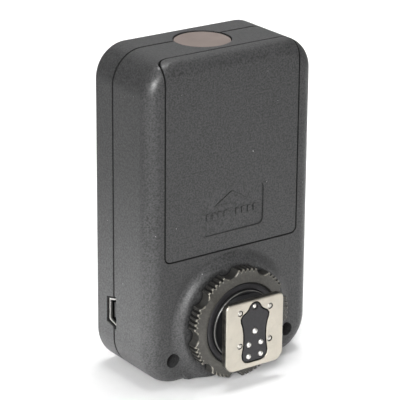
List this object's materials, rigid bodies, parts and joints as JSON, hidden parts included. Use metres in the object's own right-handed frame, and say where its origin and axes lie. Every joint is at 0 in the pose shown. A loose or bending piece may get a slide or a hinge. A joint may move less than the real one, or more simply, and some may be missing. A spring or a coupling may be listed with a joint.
{
  "type": "wireless flash trigger",
  "caption": "Radio flash trigger with a shoe foot and locking wheel below, a flash shoe above, a sliding battery door, and a focus lamp in its end.",
  "frame": {"origin": "centre of the bounding box in plan, at the level of the end face it stands on", "axes": "+Z along the case from the end it stands on to the focus lamp's end; -Y out of the door side, along the foot; +Y out of the shoe side; X across"},
  "size_m": [0.053, 0.039, 0.0895],
  "materials": {
    "case_plastic": "fine spark-eroded texture, satin",
    "wheel_plastic": "semi-matte moulded",
    "black_plastic": "semi-gloss moulded",
    "nickel_plate": "satin nickel",
    "steel": "plain",
    "dark_screw": "blackened",
    "gold_contact": "gold plated",
    "lamp_window": "dark red-brown filter",
    "clear_plastic": "clear to frosted",
    "circuit_board": "solder mask",
    "chip": "moulded epoxy",
    "cell_jacket": "printed jacket",
    "gloss_panel": "high gloss",
    "ribbon_cable": "polyimide"
  },
  "bodies": {
    "case": {"door_side_case": "case_plastic", "shoe_side_case": "case_plastic", "lamp_window": "lamp_window", "focus_lamp_led": "lamp_window", "case_screw_1": "dark_screw", "case_screw_2": "dark_screw", "case_screw_3": "dark_screw", "case_screw_4": "dark_screw", "battery_1": "cell_jacket", "battery_2": "cell_jacket", "battery_spring_1": "steel", "battery_spring_2": "steel", "battery_contact_1": "steel", "battery_contact_2": "steel", "main_board": "circuit_board", "radio_module": "steel", "processor_chip": "chip", "foot_board": "circuit_board", "foot_ribbon": "ribbon_cable", "usb_socket_shell": "nickel_plate", "usb_socket_tongue": "black_plastic", "sync_socket_ring": "nickel_plate", "sync_socket_core": "gold_contact", "power_switch_body": "steel", "channel_switch": "steel", "group_switch": "steel", "channel_light_guide": "clear_plastic", "group_light_guide": "clear_plastic", "status_light": "clear_plastic", "front_panel": "gloss_panel", "shoe_clip": "nickel_plate", "shoe_contact_block": "black_plastic", "shoe_contact_centre": "gold_contact", "shoe_contact_1": "gold_contact", "shoe_contact_2": "gold_contact", "shoe_contact_3": "gold_contact", "shoe_contact_4": "gold_contact", "shoe_screw_1": "steel", "shoe_screw_2": "steel", "shoe_screw_3": "steel", "shoe_screw_4": "steel", "foot_post": "black_plastic", "foot_plate": "nickel_plate", "foot_contact_block": "black_plastic", "foot_screw_1": "steel", "foot_screw_2": "steel", "foot_screw_3": "steel", "foot_screw_4": "steel"},
    "battery_door": {"battery_door": "case_plastic"},
    "clamp_ring": {"clamp_ring": "black_plastic"},
    "lock_wheel": {"lock_wheel": "wheel_plastic"},
    "locking_pin": {"locking_pin": "nickel_plate"},
    "channel_button": {"channel_button": "black_plastic"},
    "group_button": {"group_button": "black_plastic"},
    "power_switch": {"power_switch_knob": "black_plastic"},
    "contact_pin_centre": {"contact_pin_centre": "nickel_plate"},
    "contact_pin_1": {"contact_pin_1": "nickel_plate"},
    "contact_pin_2": {"contact_pin_2": "nickel_plate"},
    "contact_pin_3": {"contact_pin_3": "nickel_plate"},
    "contact_pin_4": {"contact_pin_4": "nickel_plate"}
  },
  "joints": [
    {"name": "battery_door_slide", "type": "slide", "parent": "case", "child": "battery_door", "axis": [0, 0, 1], "range_m": [0, 0.056]},
    {"name": "lock_wheel_turn", "type": "hinge", "parent": "case", "child": "lock_wheel", "pos_m": [0, -0.0115, 0.0156], "axis": [0, -1, 0], "range_deg": [0, 720]},
    {"name": "clamp_ring_travel", "type": "slide", "parent": "case", "child": "clamp_ring", "axis": [0, -1, 0], "range_m": [0, 0.0024]},
    {"name": "locking_pin_travel", "type": "slide", "parent": "case", "child": "locking_pin", "axis": [0, -1, 0], "range_m": [0, 0.0015]},
    {"name": "power_switch_slide", "type": "slide", "parent": "case", "child": "power_switch", "axis": [0, 0, 1], "range_m": [0, 0.003]},
    {"name": "channel_button_press", "type": "slide", "parent": "case", "child": "channel_button", "axis": [0, -1, 0], "range_m": [0, 0.0005], "stiffness_N_per_m": 1500, "springref_m": -0.0003},
    {"name": "group_button_press", "type": "slide", "parent": "case", "child": "group_button", "axis": [0, -1, 0], "range_m": [0, 0.0005], "stiffness_N_per_m": 1500, "springref_m": -0.0003},
    {"name": "contact_pin_centre_press", "type": "slide", "parent": "case", "child": "contact_pin_centre", "axis": [0, 1, 0], "range_m": [0, 0.0005], "stiffness_N_per_m": 800, "springref_m": -0.0004},
    {"name": "contact_pin_1_press", "type": "slide", "parent": "case", "child": "contact_pin_1", "axis": [0, 1, 0], "range_m": [0, 0.0005], "stiffness_N_per_m": 800, "springref_m": -0.0004},
    {"name": "contact_pin_2_press", "type": "slide", "parent": "case", "child": "contact_pin_2", "axis": [0, 1, 0], "range_m": [0, 0.0005], "stiffness_N_per_m": 800, "springref_m": -0.0004},
    {"name": "contact_pin_3_press", "type": "slide", "parent": "case", "child": "contact_pin_3", "axis": [0, 1, 0], "range_m": [0, 0.0005], "stiffness_N_per_m": 800, "springref_m": -0.0004},
    {"name": "contact_pin_4_press", "type": "slide", "parent": "case", "child": "contact_pin_4", "axis": [0, 1, 0], "range_m": [0, 0.0005], "stiffness_N_per_m": 800, "springref_m": -0.0004}
  ],
  "couplings": [
    {"joint": "clamp_ring_travel", "follows": "lock_wheel_turn", "m_per_rad": 0.00019098},
    {"joint": "locking_pin_travel", "follows": "lock_wheel_turn", "m_per_rad": 0.00011937}
  ]
}
